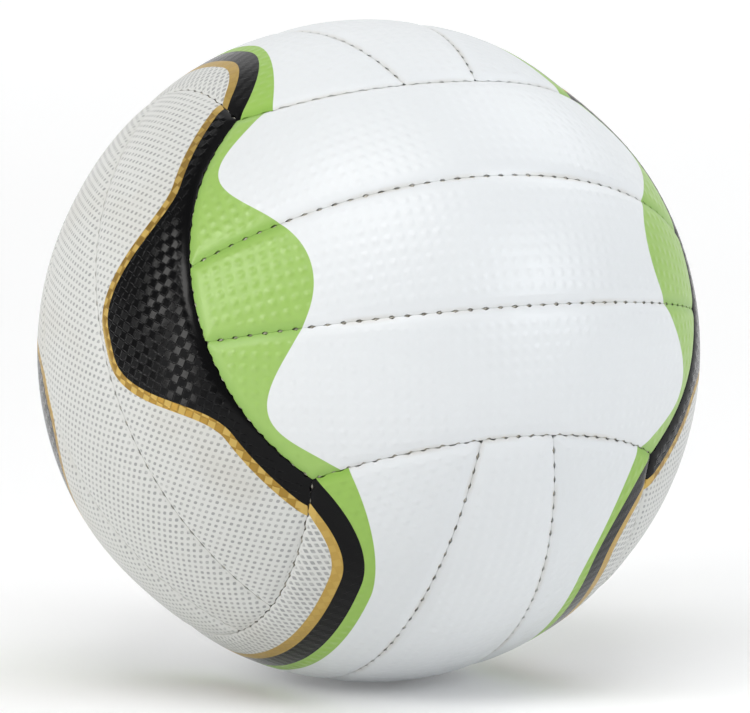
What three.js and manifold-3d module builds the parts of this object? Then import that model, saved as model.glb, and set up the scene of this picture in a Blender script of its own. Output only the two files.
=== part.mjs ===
// Beach volleyball: eighteen sewn cover panels over foam backings, a rubber bladder and a needle valve.
// The ball is laid out as a rounded cube: six faces, each of three strips that run one way.
import * as THREE from 'three';
import { mergeVertices } from 'three/addons/utils/BufferGeometryUtils.js';
import Module from 'manifold-3d';

// Driving dimensions, in millimetres
const ballCircumference = 670;
const coverThickness = 1.2;
const seamDepth = 1.6;
const seamGap = 0.6;
const rollWidth = 3;
const rollDrop = 0.4;
const flangeThickness = 1;
const padEdgeThickness = 1;
const threadDiameter = 0.8;
const bladderWall = 0.7;
const contactHalfWidth = 5.8;
const valveStemDiameter = 9;
const valveFlangeDiameter = 36;
const valveFlangeThickness = 1.4;
const valveBossLength = 7;
const valveMouthRecess = 0.2;
const valveLandMargin = 1.5;
const needleHoleDiameter = 2.2;
const needleGuideDiameter = 4;
const needleGuideDepth = 1.2;
const coreDiameter = 5;
const coreRoofThickness = 2.2;
const coreDimpleDepth = 1.5;
const fitClearance = 0.3;
const threadClearance = 0.4;

// Driving angles, in degrees
const sideSeamAngle = 34.2;
const stripSeamAngle = 11.9;
const restTurn = 26.6;
const restTip = -26.6;

// Facet counts
const lengthCells = 9;
const patchCellsBefore = 6;
const patchCellsAfter = 3;
const threadSides = 5;
const stripThreadSteps = 13;
const edgeThreadSteps = 10;
const bladderSegments = 18;
const bladderRings = 10;

// Colours, with how rough and how metallic each finish is
const finishes = {
  white: { color: 0xe9e8e4, roughness: 0.5, metalness: 0 },
  green: { color: 0x9fca68, roughness: 0.45, metalness: 0 },
  black: { color: 0x1f1d20, roughness: 0.35, metalness: 0 },
  dotted: { color: 0xcfd1cd, roughness: 0.5, metalness: 0 },
  foam: { color: 0xd8d2c0, roughness: 0.95, metalness: 0 },
  thread: { color: 0xddd6c4, roughness: 0.8, metalness: 0 },
  rubber: { color: 0x26262a, roughness: 0.7, metalness: 0 },
};

// The six faces: outward normal, direction of the strips, and strips named from one side to the other
const faces = [
  { name: 'front', normal: [0, -1, 0], along: [1, 0, 0], strips: ['lower', 'middle', 'upper'] },
  { name: 'back', normal: [0, 1, 0], along: [1, 0, 0], strips: ['upper', 'middle', 'lower'] },
  { name: 'right', normal: [1, 0, 0], along: [0, 0, 1], strips: ['back', 'middle', 'front'] },
  { name: 'left', normal: [-1, 0, 0], along: [0, 0, 1], strips: ['front', 'middle', 'back'] },
  { name: 'top', normal: [0, 0, 1], along: [0, 1, 0], strips: ['right', 'middle', 'left'] },
  { name: 'bottom', normal: [0, 0, -1], along: [0, 1, 0], strips: ['left', 'middle', 'right'] },
];
const stripFinishes = {
  front: ['white', 'white', 'white'],
  back: ['white', 'white', 'white'],
  right: ['black', 'dotted', 'black'],
  left: ['black', 'dotted', 'black'],
  top: ['green', 'white', 'green'],
  bottom: ['green', 'white', 'green'],
};

// Sizes that follow from the driving ones
const degree = Math.PI / 180;
const ballRadius = ballCircumference / (2 * Math.PI);
const threadRadius = threadDiameter / 2;
const cornerAlong = Math.PI / 4;
const cornerAcross = Math.asin(1 / Math.sqrt(3));
const rootInset = seamGap / 2;
const cornerInset = rootInset + flangeThickness;
const padInset = cornerInset + fitClearance;
const rollSlope = (seamDepth - rollDrop) / (rollWidth - rootInset);
const cornerDepth = seamDepth - rollSlope * flangeThickness + coverThickness;
const padEdgeDepth = cornerDepth + fitClearance;
const padInnerDepth = padEdgeDepth + padEdgeThickness;
const threadReach = (threadRadius + threadClearance) * Math.hypot(1, rollSlope);
const threadDepth = seamDepth + rollSlope * rootInset - threadReach;
const threadEndInset = threadDiameter + threadClearance;

// A face's long seams hold nearly the same angle off its centre line all the way to the corners
function sideSeam(along) {
  const share = along / cornerAlong;
  return sideSeamAngle * degree + (cornerAcross - sideSeamAngle * degree) * share * share;
}

// The two seams inside a face lie in planes through the ball's centre
function stripSeam(along) {
  return Math.atan(Math.tan(stripSeamAngle * degree) * Math.cos(along));
}

// The low and high seam of a face's strips, numbered 0 to 2 across the face
const stripLimits = [
  { low: (along) => -sideSeam(along), high: (along) => -stripSeam(along) },
  { low: (along) => -stripSeam(along), high: stripSeam },
  { low: stripSeam, high: sideSeam },
];

// Where a strip ends at the long seam of the next face, set back from that seam by an inset
function endAngle(across, inset) {
  const passes = 12;
  let along = cornerAlong;
  for (let pass = 0; pass < passes; pass += 1) {
    const onNeighbour = Math.atan2(Math.sin(across), Math.cos(across) * Math.sin(along));
    along = Math.acos(Math.sin(sideSeam(onNeighbour) + inset / ballRadius) / Math.cos(across));
  }
  return along;
}

function mix(from, to, share) {
  return from + (to - from) * share;
}

function axesOf(face) {
  const normal = new THREE.Vector3(...face.normal);
  const along = new THREE.Vector3(...face.along);
  const across = normal.clone().cross(along);
  return { normal, along, across };
}

// A point of a face, by its angle along and across the strips and its depth under the crown
function facePoint(axes, along, across, depth) {
  return new THREE.Vector3()
    .addScaledVector(axes.normal, Math.cos(across) * Math.cos(along))
    .addScaledVector(axes.along, Math.cos(across) * Math.sin(along))
    .addScaledVector(axes.across, Math.sin(across))
    .multiplyScalar(ballRadius - depth);
}

// Lines across a strip's length: rows at an inset from its ends, and even rows between them
function endRow(sign, inset, depth) {
  return { depth, at: (across) => sign * endAngle(across, inset) };
}

function evenRows() {
  const rows = [];
  for (let cell = 1; cell < lengthCells; cell += 1) {
    const share = (2 * cell) / lengthCells - 1;
    rows.push({ at: (across) => share * endAngle(across, rollWidth) });
  }
  return rows;
}

// On a strip with a small flat, two rows bound the flat and even rows fill the rest
function patchRows(patch) {
  const half = patch.halfWidth / ballRadius;
  const start = patch.along - half;
  const stop = patch.along + half;
  const rows = [];
  for (let cell = 1; cell <= patch.cellsBefore; cell += 1) {
    const share = cell / patch.cellsBefore;
    rows.push({ at: (across) => mix(-endAngle(across, rollWidth), start, share) });
  }
  for (let cell = 0; cell < patch.cellsAfter; cell += 1) {
    const share = cell / patch.cellsAfter;
    rows.push({ at: (across) => mix(stop, endAngle(across, rollWidth), share) });
  }
  return rows;
}

// Lines along a strip: columns at an inset from its seams, and two between them
function sideColumn(sign, inset, depth) {
  const turn = inset / ballRadius;
  return { depth, at: (low, high) => (sign < 0 ? low + turn : high - turn) };
}

function innerColumns(patch) {
  if (patch) {
    const half = patch.halfWidth / ballRadius;
    return [{ at: () => -half }, { at: () => half }];
  }
  const turn = rollWidth / ballRadius;
  return [1 / 3, 2 / 3].map((share) => ({ at: (low, high) => mix(low + turn, high - turn, share) }));
}

// The angles where a row and a column of a strip cross
function crossing(row, column, limits) {
  const passes = 10;
  let along = 0;
  let across = 0;
  for (let pass = 0; pass < passes; pass += 1) {
    across = column.at(limits.low(along), limits.high(along));
    along = row.at(across);
  }
  return { along, across };
}

// A grid of points, as deep at each one as the deeper of its row and column
function layGrid(axes, limits, rows, columns, crownDepth) {
  return rows.map((row) => columns.map((column) => {
    const { along, across } = crossing(row, column, limits);
    const depth = Math.max(row.depth ?? crownDepth, column.depth ?? crownDepth);
    return facePoint(axes, along, across, depth);
  }));
}

// The points round a grid's edge, in order
function edgeOf(grid) {
  const lastRow = grid.length - 1;
  const lastColumn = grid[0].length - 1;
  const points = [];
  for (let column = 0; column < lastColumn; column += 1) points.push(grid[0][column]);
  for (let row = 0; row < lastRow; row += 1) points.push(grid[row][lastColumn]);
  for (let column = lastColumn; column > 0; column -= 1) points.push(grid[lastRow][column]);
  for (let row = lastRow; row > 0; row -= 1) points.push(grid[row][0]);
  return points;
}

function sunk(points, depth) {
  return points.map((point) => point.clone().setLength(ballRadius - depth));
}

// A closed shell: an outer and an inner grid, joined round the edge through loops of points
function shellGeometry(outer, inner, loops) {
  const corners = [];
  const addFace = (a, b, c, d) => corners.push(a, b, c, a, c, d);
  const addGrid = (grid, flip) => {
    for (let row = 0; row + 1 < grid.length; row += 1) {
      for (let column = 0; column + 1 < grid[row].length; column += 1) {
        const near = grid[row][column];
        const far = grid[row + 1][column + 1];
        if (flip) addFace(near, grid[row][column + 1], far, grid[row + 1][column]);
        else addFace(near, grid[row + 1][column], far, grid[row][column + 1]);
      }
    }
  };
  addGrid(outer, false);
  addGrid(inner, true);
  const bands = [edgeOf(outer), ...loops, edgeOf(inner)];
  for (let band = 0; band + 1 < bands.length; band += 1) {
    const upper = bands[band];
    const lower = bands[band + 1];
    upper.forEach((point, index) => {
      const next = (index + 1) % upper.length;
      addFace(point, upper[next], lower[next], lower[index]);
    });
  }
  return joinedVertices(new THREE.BufferGeometry().setFromPoints(corners));
}

function joinedVertices(geometry) {
  geometry.deleteAttribute('normal');
  geometry.deleteAttribute('uv');
  const joined = mergeVertices(geometry);
  joined.computeVertexNormals();
  return joined;
}

// A cover panel: a crowned strip whose edges roll down to the seams and turn in as flanges
function panelGeometry(axes, limits, patch) {
  const between = patch ? patchRows(patch) : evenRows();
  const rolled = (edge, rootDepth, crown) => {
    const rows = [endRow(-1, edge, rootDepth), endRow(-1, rollWidth, rollDrop + crown), ...between];
    rows.push(endRow(1, rollWidth, rollDrop + crown), endRow(1, edge, rootDepth));
    const columns = [sideColumn(-1, edge, rootDepth), sideColumn(-1, rollWidth, rollDrop + crown)];
    columns.push(...innerColumns(patch));
    columns.push(sideColumn(1, rollWidth, rollDrop + crown), sideColumn(1, edge, rootDepth));
    return layGrid(axes, limits, rows, columns, crown);
  };
  const outer = rolled(rootInset, seamDepth, 0);
  const inner = rolled(cornerInset, cornerDepth, coverThickness);
  const flange = [sunk(edgeOf(outer), padInnerDepth), sunk(edgeOf(inner), padInnerDepth)];
  return shellGeometry(outer, inner, flange);
}

// A foam backing: lies under its panel, between the flanges, and thins towards the seams
function padGeometry(axes, limits, patch) {
  const between = patch ? patchRows(patch) : evenRows();
  const rows = [endRow(-1, padInset, padEdgeDepth), ...between, endRow(1, padInset, padEdgeDepth)];
  const columns = [sideColumn(-1, padInset, padEdgeDepth), ...innerColumns(patch)];
  columns.push(sideColumn(1, padInset, padEdgeDepth));
  const outer = layGrid(axes, limits, rows, columns, coverThickness + fitClearance);
  const inner = outer.map((row) => sunk(row, padInnerDepth));
  return shellGeometry(outer, inner, []);
}

// Sewing thread as a round tube along a curve through points
function threadGeometry(points, steps) {
  const section = new THREE.Shape();
  for (let side = 0; side < threadSides; side += 1) {
    const turn = (2 * Math.PI * side) / threadSides;
    const corner = [threadRadius * Math.cos(turn), threadRadius * Math.sin(turn)];
    if (side === 0) section.moveTo(...corner);
    else section.lineTo(...corner);
  }
  section.closePath();
  const extrudePath = new THREE.CatmullRomCurve3(points);
  return new THREE.ExtrudeGeometry(section, { steps, extrudePath, bevelEnabled: false });
}

function seamPoints(axes, seam, start, stop, count) {
  const points = [];
  for (let index = 0; index <= count; index += 1) {
    const along = mix(start, stop, index / count);
    points.push(facePoint(axes, along, seam(along), threadDepth));
  }
  return points;
}

// The seam between two strips of a face, from one crossing seam to the other
function stripThread(axes, sign) {
  const seam = (along) => sign * stripSeam(along);
  const end = endAngle(stripSeam(cornerAlong), threadEndInset);
  return threadGeometry(seamPoints(axes, seam, -end, end, stripThreadSteps), stripThreadSteps);
}

// The seam along one edge of the cube, from a corner to the next, stopping short of both
function edgePoints(from, to) {
  const along = to.clone().sub(from).divideScalar(2);
  const middle = from.clone().add(to).divideScalar(2);
  const home = faces.map(axesOf).find((axes) => axes.along.dot(along) !== 0 && axes.normal.dot(middle) > 0);
  const across = middle.clone().sub(home.normal);
  const shortOf = threadEndInset / (ballRadius * Math.cos(cornerAcross));
  const end = cornerAlong - shortOf;
  return seamPoints({ normal: home.normal, along, across }, sideSeam, -end, end, edgeThreadSteps);
}

// A closing thread runs along three edges: left to right, front to back and up or down
function closingThread(side, level) {
  const turnOver = side * level;
  const corners = [
    new THREE.Vector3(-side, -turnOver, level),
    new THREE.Vector3(side, -turnOver, level),
    new THREE.Vector3(side, turnOver, level),
    new THREE.Vector3(side, turnOver, -level),
  ];
  const points = [];
  for (let edge = 0; edge + 1 < corners.length; edge += 1) {
    points.push(...edgePoints(corners[edge], corners[edge + 1]));
  }
  return threadGeometry(points, edgeThreadSteps * (corners.length - 1));
}

// Bladder, revolved about the valve's axis, with a hole for the valve's stem
const widestRow = endAngle(0, rollWidth) / lengthCells;
const widestColumn = (sideSeamAngle - stripSeamAngle) * degree / 3;
const padSag = Math.cos(widestRow) * Math.cos(widestColumn);
const bladderRadius = (ballRadius - padInnerDepth) * padSag - fitClearance;
const bladderHoleRadius = valveStemDiameter / 2 + fitClearance;

function sphereProfile(radius, firstX) {
  const flange = valveFlangeDiameter / 2;
  const top = Math.asin(flange / radius);
  const points = [new THREE.Vector2(firstX, Math.sqrt(radius * radius - firstX * firstX))];
  for (let ring = 0; ring <= bladderRings; ring += 1) {
    const polar = mix(top, Math.PI, ring / bladderRings);
    const x = ring === bladderRings ? 0 : radius * Math.sin(polar);
    points.push(new THREE.Vector2(x, radius * Math.cos(polar)));
  }
  return points;
}

function bladderGeometry() {
  const outer = sphereProfile(bladderRadius, bladderHoleRadius).reverse();
  const inner = sphereProfile(bladderRadius - bladderWall, bladderHoleRadius);
  return new THREE.LatheGeometry([...outer, ...inner], bladderSegments);
}

// Valve body: a stem through the cover, with a flange held against the bladder's inside
const valveLandHalfWidth = bladderHoleRadius + valveLandMargin;
const valveMouth = ballRadius * Math.cos(valveLandHalfWidth / ballRadius) ** 2 - valveMouthRecess;
const flangeSeat = bladderRadius - bladderWall - fitClearance;
const flangeRimHeight = Math.sqrt(flangeSeat ** 2 - (valveFlangeDiameter / 2) ** 2);
const flangeRootHeight = Math.sqrt(flangeSeat ** 2 - (valveStemDiameter / 2) ** 2);
const bossFoot = flangeRootHeight - valveFlangeThickness - valveBossLength;
const coreRoof = valveMouth - needleGuideDepth - coreRoofThickness;

function valveBodyGeometry() {
  const stem = valveStemDiameter / 2;
  const rim = valveFlangeDiameter / 2;
  const guide = needleGuideDiameter / 2;
  const needle = needleHoleDiameter / 2;
  const cavity = coreDiameter / 2 + fitClearance;
  const outline = [
    [cavity, bossFoot],
    [stem, bossFoot],
    [stem, flangeRootHeight - valveFlangeThickness],
    [rim, flangeRimHeight - valveFlangeThickness],
    [rim, flangeRimHeight],
    [stem, flangeRootHeight],
    [stem, valveMouth],
    [guide, valveMouth],
    [needle, valveMouth - needleGuideDepth],
    [needle, coreRoof],
    [cavity, coreRoof],
    [cavity, bossFoot],
  ];
  return new THREE.LatheGeometry(outline.map(([x, y]) => new THREE.Vector2(x, y)), bladderSegments);
}

// Valve core: a plug in the body's cavity, dimpled at the top to lead the needle in
function valveCoreGeometry() {
  const radius = coreDiameter / 2;
  const top = coreRoof - fitClearance;
  const outline = [
    [0, bossFoot],
    [radius, bossFoot],
    [radius, top],
    [needleHoleDiameter / 2, top],
    [0, top - coreDimpleDepth],
  ];
  return new THREE.LatheGeometry(outline.map(([x, y]) => new THREE.Vector2(x, y)), bladderSegments);
}

// Boolean cut of the valve's hole through a panel and its backing
const wasm = await Module();
wasm.setup();

function toSolid(geometry) {
  const joined = joinedVertices(geometry);
  const vertProperties = new Float32Array(joined.attributes.position.array);
  const triVerts = new Uint32Array(joined.index.array);
  return new wasm.Manifold(new wasm.Mesh({ numProp: 3, vertProperties, triVerts }));
}

function drilledForValve(geometry) {
  const drill = new THREE.CylinderGeometry(bladderHoleRadius, bladderHoleRadius, ballRadius, bladderSegments);
  drill.translate(0, ballRadius, 0);
  const mesh = toSolid(geometry).subtract(toSolid(drill)).getMesh();
  const drilled = new THREE.BufferGeometry();
  drilled.setAttribute('position', new THREE.BufferAttribute(mesh.vertProperties, 3));
  drilled.setIndex(new THREE.BufferAttribute(mesh.triVerts, 1));
  drilled.computeVertexNormals();
  return drilled;
}

// Flats on two middle strips: where the ball's weight presses the cover flat, and round the valve
const contactPatch = {
  along: -restTip * degree,
  halfWidth: contactHalfWidth,
  cellsBefore: patchCellsBefore,
  cellsAfter: patchCellsAfter,
};
const valveCells = Math.ceil(lengthCells / 2);
const valvePatch = {
  along: 0,
  halfWidth: valveLandHalfWidth,
  cellsBefore: valveCells,
  cellsAfter: valveCells,
};
const middleStrip = 1;

function patchOf(face, strip) {
  if (strip !== middleStrip) return null;
  if (face.name === 'bottom') return contactPatch;
  return face.name === 'back' ? valvePatch : null;
}

// Assembly: the ball in its own axes, turned to the way it lies
const ball = new THREE.Group();
ball.rotation.set(restTip * degree, 0, restTurn * degree, 'ZYX');

function addPiece(name, geometry, finish) {
  const mesh = new THREE.Mesh(geometry, new THREE.MeshStandardMaterial(finishes[finish]));
  mesh.name = name;
  ball.add(mesh);
}

for (const face of faces) {
  const axes = axesOf(face);
  face.strips.forEach((strip, index) => {
    const patch = patchOf(face, index);
    const shapes = [panelGeometry, padGeometry].map((make) => make(axes, stripLimits[index], patch));
    const [panel, pad] = patch === valvePatch ? shapes.map(drilledForValve) : shapes;
    addPiece(`${face.name}_${strip}_panel`, panel, stripFinishes[face.name][index]);
    addPiece(`${face.name}_${strip}_backing`, pad, 'foam');
  });
  addPiece(`${face.name}_${face.strips[0]}_seam_thread`, stripThread(axes, -1), 'thread');
  addPiece(`${face.name}_${face.strips[2]}_seam_thread`, stripThread(axes, 1), 'thread');
}

for (const [side, sideName] of [[-1, 'left'], [1, 'right']]) {
  for (const [level, levelName] of [[-1, 'lower'], [1, 'upper']]) {
    addPiece(`closing_thread_${levelName}_${sideName}`, closingThread(side, level), 'thread');
  }
}

addPiece('bladder', bladderGeometry(), 'rubber');
addPiece('valve_body', valveBodyGeometry(), 'rubber');
addPiece('valve_core', valveCoreGeometry(), 'rubber');

const part = new THREE.Group();
part.add(ball);

export default part;
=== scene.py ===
import math

import bpy
import numpy as np
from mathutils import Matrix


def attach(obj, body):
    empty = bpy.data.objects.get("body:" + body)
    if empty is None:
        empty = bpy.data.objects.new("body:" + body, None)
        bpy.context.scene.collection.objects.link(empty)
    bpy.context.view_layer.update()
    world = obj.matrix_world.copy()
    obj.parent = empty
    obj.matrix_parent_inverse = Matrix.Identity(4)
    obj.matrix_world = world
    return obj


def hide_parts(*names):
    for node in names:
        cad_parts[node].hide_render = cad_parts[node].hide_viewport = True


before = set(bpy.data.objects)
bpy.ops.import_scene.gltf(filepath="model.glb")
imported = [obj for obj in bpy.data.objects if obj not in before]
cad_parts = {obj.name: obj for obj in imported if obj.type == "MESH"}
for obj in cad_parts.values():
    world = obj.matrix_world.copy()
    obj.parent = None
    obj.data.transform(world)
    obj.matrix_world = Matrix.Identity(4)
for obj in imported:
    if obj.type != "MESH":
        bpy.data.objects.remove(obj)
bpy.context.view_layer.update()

# Driving dimensions of the ball, in millimetres
BALL_CIRCUMFERENCE = 670.0
COVER_THICKNESS = 1.2
FLANGE_THICKNESS = 1.0
FLANGE_DEPTH = 3.6
FIT_CLEARANCE = 0.3
CONTACT_DROP = 0.3152
BLADDER_WALL = 0.7
BLADDER_CLEARANCE = 0.4
VALVE_STEM_DIAMETER = 9.0
VALVE_FLANGE_DIAMETER = 36.0
VALVE_FLANGE_THICKNESS = 1.4
VALVE_BOSS_LENGTH = 7.0
VALVE_MOUTH_DEPTH = 0.57
VALVE_LAND_DEPTH = 0.37
VALVE_LAND_WIDTH = 5.0
NEEDLE_HOLE_DIAMETER = 2.2
NEEDLE_GUIDE_DIAMETER = 4.0
NEEDLE_GUIDE_DEPTH = 1.2
CORE_DIAMETER = 5.0
CORE_ROOF_THICKNESS = 2.2
CORE_DIMPLE_DEPTH = 1.5
RIM_ROUNDING = 0.5

# Seams: how the panels roll down to them, and the hand stitches along them, uneven from one to the next
VALLEY_WIDTH = 4.4
VALLEY_DEPTH = 0.8
LIP_WIDTH = 0.4
STRIP_LIP_DROP = 0.012
FACE_LIP_DROP = 0.03
PILLOW_WIDTH = 14.0
PILLOW_DEPTH = 0.3
ROLL_BLEND = 4
LIP_GAP = 0.01
STITCH_PITCH = 5.1
EYE_LENGTH = 1.9
EYE_OPENING = 1.25
EYE_REACH = 0.9
EYE_MEAN, EYE_UNEVEN = 0.9, 0.18
EYE_STRIDE, EYE_START = 2.3, 0.7
TUNNEL_WIDTH = 0.96
TUNNEL_DEPTH = 0.35
THREAD_DIAMETER = 0.6
THREAD_HIGH = 1.62
THREAD_UNEVEN = 0.16
THREAD_STRIDE = 1.7
THREAD_LOW = 2.4
THREAD_DIVE = 1.0
THREAD_SWAY = 0.28
THREAD_END_INSET = 1.3
THREAD_SHOWN = 2.4
THREAD_STEP = 0.3
THREAD_SIDES = 10
THREAD_PLIES = 3
PLY_DEPTH = 0.07
THREAD_TWIST_LENGTH = 1.6

# The cover is drawn in a little where three faces meet
CORNER_DIP = 1.7
CORNER_SPREAD_ANGLE = 13.0

# Driving angles, in degrees
SIDE_SEAM_ANGLE = 34.2
STRIP_SEAM_ANGLE = 11.9
REST_TURN = 26.6
REST_TIP = -26.6

# Surface patterns, in millimetres
WEAVE_LATTICE = 4.0
WEAVE_HEIGHT = 0.16
GRAIN_SIZE = 0.35
GRAIN_HEIGHT = 0.012
RIPPLE_SIZE = 9.0
RIPPLE_HEIGHT = 0.12
DOT_SPREAD_ALONG = 1.39
DOT_SPREAD_ACROSS = 1.9

# Their shares: rise and leans of the weave's height, flat top and soft edge of a tile's or dot's width
WEAVE_RISE = 0.3
WEAVE_LEAN = 2.4
SCALE_LEAN = 1.4
TILE_TOP = 0.38
DOT_SOFTNESS = 0.05

# Noise: its usual detail, and the windows of its values that are stretched to the full range
NOISE_DETAIL = 3.0
PATCH_WINDOW = (0.3, 0.7)
WIDE_WINDOW = (0.2, 0.8)
ROUGHNESS_SPREAD = 0.06

# Inks: how strongly the emboss shows through each, how evenly the gold's painted glint spreads over its
# tiles, and how each takes the light
GREEN_RELIEF = 1.4
FOIL_RELIEF = 0.7
DOT_RELIEF = 0.3
PRINT_SOFTNESS = 0.08
FLAT_MARGIN = (2.2, 4.4)
GOLD_GLINT_EVENNESS = 0.7
GOLD_METALLIC = 0.6
BLACK_ROUGHNESS = 0.18
SATIN_ROUGHNESS = (0.32, 0.42)
SATIN_SIZE = 5.0

# Wear, and shade painted on the green near the seams: how strong each kind is, its patches, and how far it
# reaches from a seam
SEAM_GRIME = 0.35
SEAM_GRIME_REACH = (0.1, 1.8)
SEAM_GRIME_PATCH = 16.0
DOT_SOIL = 0.22
DOT_SOIL_PATCH = 45.0
DOT_SOIL_DETAIL = 4.0
DOT_SOIL_WINDOW = (0.48, 0.75)
DOT_FADE = 0.45
DOT_FADE_PATCH = 2.2
DOT_FADE_WINDOW = (0.25, 0.6)
DOT_MARGIN = (0.4, 1.3)
GREEN_SHADE = 0.5
GREEN_SHADE_REACH = (0.3, 4.0)

# Printed edges on the front and back: a wave of green from each end, in degrees, fuller by a share
GREEN_WAVE_MIDDLE = 41.0
GREEN_WAVE_SWING = 7.2
GREEN_WAVE_FULLNESS = 0.2
GREEN_WAVE_PERIOD = 45.0

# Printed edges on the sides: half the width of the dotted field in degrees, and a gold band along it
DOT_WAIST, DOT_WIDEST = 13.1, 29.1
WAIST_START, WAIST_LENGTH = 2.6, 25.0
GOLD_WIDTH = 3.1

# Printed edges on the top and bottom, in degrees: off the middle, growth, where that starts, its power
CAP_EDGES = {
    "dot_edge": (28.1, 0.0396, 24.0, 2.0),
    "gold_edge": (26.1, 0.0366, 24.0, 2.0),
    "black_edge": (22.5, 0.0265, 24.0, 2.0),
    "green_edge": (20.2, 0.047, 22.0, 1.6),
}

# Camera and framing
CAMERA_DISTANCE = 3.199
CAMERA_ELEVATION = 8.0
SENSOR_WIDTH = 36.0
LENS = 477.1
SHIFT_RIGHT = 0.0084
SHIFT_UP = -0.0077
CLIP_END = 100.0

# Floor, in metres: a wide sheet with a sloping rim, which glows more with distance
FLOOR_SIZE = 80.0
FLOOR_PATCH = 0.4
FLOOR_ROUGHNESS = 0.9
RIM_FOOT, RIM_TOP = 8.0, 12.0
RIM_HEIGHT = 0.5
RIM_SUNK = 0.01
RIM_SEGMENTS = 128
GLOW_NEAR, GLOW_FAR = 0.08, 0.6
GLOW_REACH = 3.6

# Surround: its strength round the camera and behind the ball, and where it changes
SURROUND_DIM, SURROUND_BRIGHT = 0.28, 0.9
SURROUND_CHANGE = (0.35, 0.85)

# Meshes: cells and segments, and rounds of the two searches
ROW_CELLS = 278
COLUMN_CELLS = 46
INNER_STEP = 8
PAD_ROW_CELLS = 60
PAD_COLUMN_CELLS = 12
BLADDER_RINGS = 64
BLADDER_SEGMENTS = 96
VALVE_SEGMENTS = 72
CORE_SEGMENTS = 48
ROUNDING_POINTS = 7
END_ROUNDS = 9
GRID_ROUNDS = 14

# Shares of the bake map: for a panel's outer sheet, bands and inner sheet, for a pad, and for a thread
OUTER_MAP = (0.0, 0.86)
BAND_MAP_START = 0.87
BAND_MAP_STEP = 0.015
INNER_MAP = (0.95, 1.0)
PAD_UPPER_MAP = (0.0, 0.45)
PAD_LOWER_MAP = (0.5, 0.95)
PAD_EDGE_MAP = (0.96, 1.0)
THREAD_MAP = 0.98
THREAD_END_MAP = 0.99
THREAD_END_SPREAD = 0.004

# Sizes that follow from the driving ones
MM = 0.001
RADIUS = BALL_CIRCUMFERENCE / (2 * math.pi)
VALVE_HOLE_RADIUS = VALVE_STEM_DIAMETER / 2 + FIT_CLEARANCE
CORNER_ALONG = math.pi / 4
CORNER_ACROSS = math.asin(1 / math.sqrt(3))
SIDE_SEAM = math.radians(SIDE_SEAM_ANGLE)
STRIP_SEAM = math.radians(STRIP_SEAM_ANGLE)
FAR_AWAY = 50.0

# The six faces: outward normal, direction of the strips, and strips named from one side to the other
FACES = (
    ("front", (0, -1, 0), (1, 0, 0), ("lower", "middle", "upper")),
    ("back", (0, 1, 0), (1, 0, 0), ("upper", "middle", "lower")),
    ("right", (1, 0, 0), (0, 0, 1), ("back", "middle", "front")),
    ("left", (-1, 0, 0), (0, 0, 1), ("front", "middle", "back")),
    ("top", (0, 0, 1), (0, 1, 0), ("right", "middle", "left")),
    ("bottom", (0, 0, -1), (0, 1, 0), ("left", "middle", "right")),
)
FACE_SLOTS = {
    "front": ("cover_white", "cover_white", "cover_white"),
    "back": ("cover_white", "cover_white", "cover_white"),
    "right": ("cover_black", "cover_dotted", "cover_black"),
    "left": ("cover_black", "cover_dotted", "cover_black"),
    "top": ("cover_green", "cover_white", "cover_green"),
    "bottom": ("cover_green", "cover_white", "cover_green"),
}


def turned_to_rest():
    turn = math.radians(REST_TURN)
    tip = math.radians(REST_TIP)
    about_z = np.array([
        [math.cos(turn), -math.sin(turn), 0],
        [math.sin(turn), math.cos(turn), 0],
        [0, 0, 1],
    ])
    about_x = np.array([
        [1, 0, 0],
        [0, math.cos(tip), -math.sin(tip)],
        [0, math.sin(tip), math.cos(tip)],
    ])
    return about_z @ about_x


AT_REST = turned_to_rest()


def mix(first, second, share):
    return first + (second - first) * share


def smooth(low, high, value):
    share = np.clip((value - low) / (high - low), 0, 1)
    return share * share * (3 - 2 * share)


# Seams of a face, by the angle along its strips
def side_seam(along):
    return SIDE_SEAM + (CORNER_ACROSS - SIDE_SEAM) * (along / CORNER_ALONG) ** 2


def strip_seam(along):
    return np.arctan(math.tan(STRIP_SEAM) * np.cos(along))


def strip_limits(strip, along):
    if strip == 0:
        return -side_seam(along), -strip_seam(along)
    if strip == 1:
        return -strip_seam(along), strip_seam(along)
    return strip_seam(along), side_seam(along)


# Where a strip ends at the long seam of the next face, set back from it by an inset
def end_angle(across, inset):
    along = np.full(np.shape(across), CORNER_ALONG)
    for _ in range(END_ROUNDS):
        on_neighbour = np.arctan2(np.sin(across), np.cos(across) * np.sin(along))
        lift = np.sin(side_seam(on_neighbour) + inset / RADIUS) / np.cos(across)
        along = np.arccos(np.clip(lift, -1, 1))
    return along


# Millimetres along a seam, from its middle
def side_seam_run(along):
    return RADIUS * math.cos((SIDE_SEAM + CORNER_ACROSS) / 2) * along


def strip_seam_run(along):
    return RADIUS * np.arcsin(np.sin(along) * np.cos(strip_seam(along)))


def end_seam_run(along, across):
    return side_seam_run(np.arctan2(np.sin(across), np.cos(across) * np.sin(np.abs(along))))


# Half the opening of the lens-shaped eye at each stitch, by the run along the seam
def eye(run):
    stitch = np.round(run / STITCH_PITCH)
    off = (run - stitch * STITCH_PITCH) / (EYE_LENGTH / 2)
    uneven = EYE_MEAN + EYE_UNEVEN * np.sin(stitch * EYE_STRIDE + EYE_START)
    return EYE_OPENING / 2 * uneven * np.maximum(0, 1 - off * off)


# Lines of a grid: a share of the way over and an inset from both edges, close together near the edges
PANEL_INSETS = np.array([0, 0.08, 0.2, 0.36, 0.56, 0.8, 1.1, 1.5, 2.0, 2.6, 3.2, 3.8, 4.4, 5.0])
PAD_INSETS = np.array([0, 0.5, 1.2, 2.2, 3.6])


def graded_lines(cells, edge_insets):
    inner = np.arange(1, cells) / cells
    edge = len(edge_insets)
    shares = np.concatenate([np.zeros(edge), inner, np.ones(edge)])
    insets = np.concatenate([edge_insets, np.full(cells - 1, edge_insets[-1]), edge_insets[::-1]])
    return shares, insets


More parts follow.
